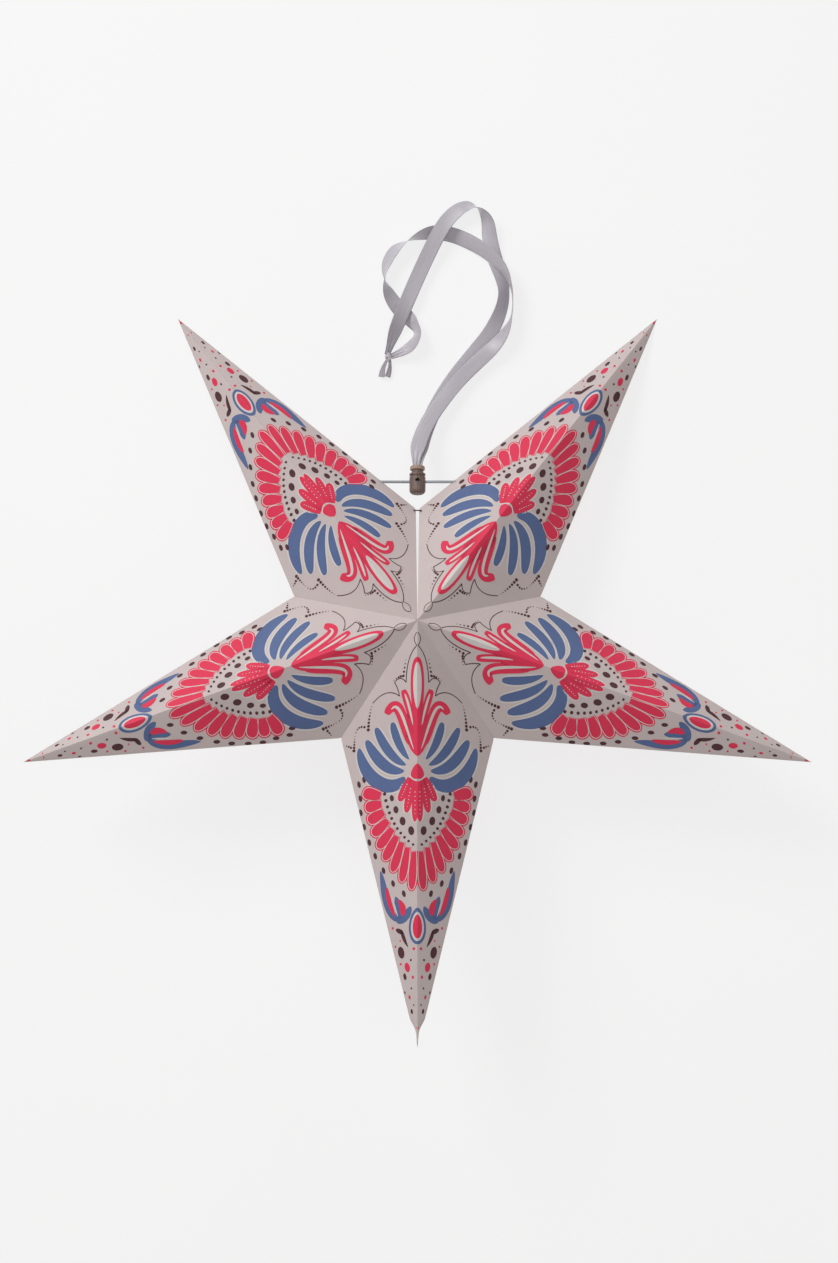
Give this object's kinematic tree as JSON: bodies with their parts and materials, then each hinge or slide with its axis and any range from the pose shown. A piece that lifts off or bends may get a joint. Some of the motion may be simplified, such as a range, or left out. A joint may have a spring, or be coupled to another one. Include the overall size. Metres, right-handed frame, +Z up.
{
  "type": "folding paper star lantern",
  "caption": "Hollow pointed paper star that folds flat like a fan, with a slit for a lamp, a wire hanging bar, a wooden stopper and a satin ribbon loop.",
  "frame": {"origin": "on the surface it lies on, under the middle of the star's width and height", "axes": "+Z up, out of the printed front of the lying star; +Y towards the slit and the ribbon; +X to the right"},
  "size_m": [0.6048, 0.6523, 0.1165],
  "materials": {
    "printed_paper": "matte",
    "plain_paper": "matte",
    "wire": "satin",
    "dark_wood": "satin",
    "pale_wood": "satin",
    "satin_ribbon": "satin",
    "thread": "matte"
  },
  "bodies": {
    "hanger": {"hanging_bar": "wire", "ribbon_strand_a": "satin_ribbon", "ribbon_strand_b": "satin_ribbon", "ribbon_knot": "satin_ribbon", "ribbon_tail_a": "satin_ribbon", "ribbon_tail_b": "satin_ribbon"},
    "upper_right_front_ccw_panel": {"upper_right_front_ccw": "printed_paper"},
    "upper_right_front_cw_panel": {"upper_right_front_cw": "printed_paper", "upper_right_front_valley_flap": "plain_paper"},
    "upper_right_back_ccw_panel": {"upper_right_back_ccw": "printed_paper"},
    "upper_right_back_cw_panel": {"upper_right_back_cw": "printed_paper", "upper_right_back_valley_flap": "plain_paper", "upper_right_seam_flap": "plain_paper"},
    "right_front_ccw_panel": {"right_front_ccw": "printed_paper"},
    "right_front_cw_panel": {"right_front_cw": "printed_paper", "right_front_valley_flap": "plain_paper"},
    "right_back_ccw_panel": {"right_back_ccw": "printed_paper"},
    "right_back_cw_panel": {"right_back_cw": "printed_paper", "right_back_valley_flap": "plain_paper", "right_seam_flap": "plain_paper"},
    "bottom_front_ccw_panel": {"bottom_front_ccw": "printed_paper"},
    "bottom_front_cw_panel": {"bottom_front_cw": "printed_paper", "bottom_front_valley_flap": "plain_paper"},
    "bottom_back_ccw_panel": {"bottom_back_ccw": "printed_paper"},
    "bottom_back_cw_panel": {"bottom_back_cw": "printed_paper", "bottom_back_valley_flap": "plain_paper", "bottom_seam_flap": "plain_paper"},
    "left_front_ccw_panel": {"left_front_ccw": "printed_paper"},
    "left_front_cw_panel": {"left_front_cw": "printed_paper", "left_front_valley_flap": "plain_paper"},
    "left_back_ccw_panel": {"left_back_ccw": "printed_paper"},
    "left_back_cw_panel": {"left_back_cw": "printed_paper", "left_back_valley_flap": "plain_paper", "left_seam_flap": "plain_paper"},
    "upper_left_front_ccw_panel": {"upper_left_front_ccw": "printed_paper"},
    "upper_left_front_cw_panel": {"upper_left_front_cw": "printed_paper", "slit_tie": "thread"},
    "upper_left_back_ccw_panel": {"upper_left_back_ccw": "printed_paper", "upper_left_seam_flap": "plain_paper"},
    "upper_left_back_cw_panel": {"upper_left_back_cw": "printed_paper"},
    "stopper": {"stopper_barrel": "dark_wood", "stopper_cap": "pale_wood"}
  },
  "joints": [
    {"name": "fold", "type": "hinge", "parent": "hanger", "child": "bottom_back_ccw_panel", "pos_m": [0, -0.13051, 0.05877], "axis": [0, -0.9328, 0.3605], "range_deg": [0, 53.51]},
    {"name": "bottom_back_ridge_cw", "type": "hinge", "parent": "hanger", "child": "bottom_back_cw_panel", "pos_m": [0, -0.13051, 0.05877], "axis": [0, 0.9328, -0.3605], "range_deg": [0, 53.52]},
    {"name": "bottom_right_back_valley", "type": "hinge", "parent": "bottom_back_ccw_panel", "child": "right_back_cw_panel", "pos_m": [0.02943, -0.01442, 0.03418], "axis": [-0.5179, 0.6076, -0.6022], "range_deg": [0, 132.92]},
    {"name": "right_back_ridge", "type": "hinge", "parent": "right_back_cw_panel", "child": "right_back_ccw_panel", "pos_m": [0.15134, -0.02348, 0.03661], "axis": [0.9365, -0.2704, 0.2234], "range_deg": [0, 107.04]},
    {"name": "right_upper_right_back_valley", "type": "hinge", "parent": "right_back_ccw_panel", "child": "upper_right_back_cw_panel", "pos_m": [0.04793, 0.0403, 0.02285], "axis": [-0.8435, -0.3553, -0.4028], "range_deg": [0, 132.92]},
    {"name": "upper_right_back_ridge", "type": "hinge", "parent": "upper_right_back_cw_panel", "child": "upper_right_back_ccw_panel", "pos_m": [0.09513, 0.15085, 0.00051], "axis": [0.5887, 0.8084, 0], "range_deg": [0, 107.04]},
    {"name": "bottom_left_back_valley", "type": "hinge", "parent": "bottom_back_cw_panel", "child": "left_back_ccw_panel", "pos_m": [-0.02943, -0.01442, 0.03418], "axis": [-0.5179, -0.6076, 0.6022], "range_deg": [0, 132.92]},
    {"name": "left_back_ridge", "type": "hinge", "parent": "left_back_ccw_panel", "child": "left_back_cw_panel", "pos_m": [-0.15134, -0.02348, 0.03661], "axis": [0.9365, 0.2704, -0.2234], "range_deg": [0, 107.04]},
    {"name": "left_upper_left_back_valley", "type": "hinge", "parent": "left_back_cw_panel", "child": "upper_left_back_ccw_panel", "pos_m": [-0.04793, 0.0403, 0.02285], "axis": [-0.8435, 0.3553, 0.4028], "range_deg": [0, 132.92]},
    {"name": "upper_left_back_ridge", "type": "hinge", "parent": "upper_left_back_ccw_panel", "child": "upper_left_back_cw_panel", "pos_m": [-0.09513, 0.15085, 0.00051], "axis": [0.5887, -0.8084, 0], "range_deg": [0, 107.04]},
    {"name": "upper_right_edge_ccw", "type": "hinge", "parent": "upper_right_back_ccw_panel", "child": "upper_right_front_ccw_panel", "pos_m": [0.09585, 0.20543, 0.01575], "axis": [-0.7722, -0.6222, 0.1288], "range_deg": [0, 108.23]},
    {"name": "upper_right_edge_cw", "type": "hinge", "parent": "upper_right_back_cw_panel", "child": "upper_right_front_cw_panel", "pos_m": [0.14315, 0.17098, 0.02289], "axis": [0.3863, 0.9032, -0.187], "range_deg": [0, 108.23]},
    {"name": "right_edge_ccw", "type": "hinge", "parent": "right_back_ccw_panel", "child": "right_front_ccw_panel", "pos_m": [0.19936, -0.00337, 0.05899], "axis": [-0.8459, 0.5223, -0.1081], "range_deg": [0, 108.23]},
    {"name": "right_edge_cw", "type": "hinge", "parent": "right_back_cw_panel", "child": "right_front_cw_panel", "pos_m": [0.18084, -0.05817, 0.07033], "axis": [0.997, -0.0752, 0.0156], "range_deg": [0, 108.23]},
    {"name": "bottom_edge_ccw", "type": "hinge", "parent": "bottom_back_ccw_panel", "child": "bottom_front_ccw_panel", "pos_m": [0.02947, -0.16523, 0.0925], "axis": [0.2405, 0.9505, -0.1968], "range_deg": [0, 108.23]},
    {"name": "bottom_edge_cw", "type": "hinge", "parent": "bottom_back_cw_panel", "child": "bottom_front_cw_panel", "pos_m": [-0.02947, -0.16523, 0.0925], "axis": [0.2405, -0.9505, 0.1968], "range_deg": [0, 108.23]},
    {"name": "left_edge_ccw", "type": "hinge", "parent": "left_back_ccw_panel", "child": "left_front_ccw_panel", "pos_m": [-0.18084, -0.05817, 0.07033], "axis": [0.997, 0.0752, -0.0156], "range_deg": [0, 108.23]},
    {"name": "left_edge_cw", "type": "hinge", "parent": "left_back_cw_panel", "child": "left_front_cw_panel", "pos_m": [-0.19936, -0.00337, 0.05899], "axis": [-0.8459, -0.5223, 0.1081], "range_deg": [0, 108.23]},
    {"name": "upper_left_edge_ccw", "type": "hinge", "parent": "upper_left_back_ccw_panel", "child": "upper_left_front_ccw_panel", "pos_m": [-0.14315, 0.17098, 0.02289], "axis": [0.3863, -0.9032, 0.187], "range_deg": [0, 108.23]},
    {"name": "upper_left_edge_cw", "type": "hinge", "parent": "upper_left_back_cw_panel", "child": "upper_left_front_cw_panel", "pos_m": [-0.09585, 0.20543, 0.01575], "axis": [-0.7722, 0.6222, -0.1288], "range_deg": [0, 108.23]},
    {"name": "stopper_swing", "type": "hinge", "parent": "hanger", "child": "stopper", "pos_m": [0, 0.15042, 0.02714], "axis": [1, 0, 0], "range_deg": [-5, 5]}
  ],
  "couplings": [
    {"joint": "bottom_back_ridge_cw", "follows": "fold", "ratio": 1},
    {"joint": "bottom_right_back_valley", "follows": "fold", "ratio": 2.4837},
    {"joint": "right_back_ridge", "follows": "fold", "ratio": 2},
    {"joint": "right_upper_right_back_valley", "follows": "fold", "ratio": 2.4837},
    {"joint": "upper_right_back_ridge", "follows": "fold", "ratio": 2},
    {"joint": "bottom_left_back_valley", "follows": "fold", "ratio": 2.4837},
    {"joint": "left_back_ridge", "follows": "fold", "ratio": 2},
    {"joint": "left_upper_left_back_valley", "follows": "fold", "ratio": 2.4837},
    {"joint": "upper_left_back_ridge", "follows": "fold", "ratio": 2},
    {"joint": "upper_right_edge_ccw", "follows": "fold", "ratio": 2.0223},
    {"joint": "upper_right_edge_cw", "follows": "fold", "ratio": 2.0223},
    {"joint": "right_edge_ccw", "follows": "fold", "ratio": 2.0223},
    {"joint": "right_edge_cw", "follows": "fold", "ratio": 2.0223},
    {"joint": "bottom_edge_ccw", "follows": "fold", "ratio": 2.0223},
    {"joint": "bottom_edge_cw", "follows": "fold", "ratio": 2.0223},
    {"joint": "left_edge_ccw", "follows": "fold", "ratio": 2.0223},
    {"joint": "left_edge_cw", "follows": "fold", "ratio": 2.0223},
    {"joint": "upper_left_edge_ccw", "follows": "fold", "ratio": 2.0223},
    {"joint": "upper_left_edge_cw", "follows": "fold", "ratio": 2.0223}
  ]
}
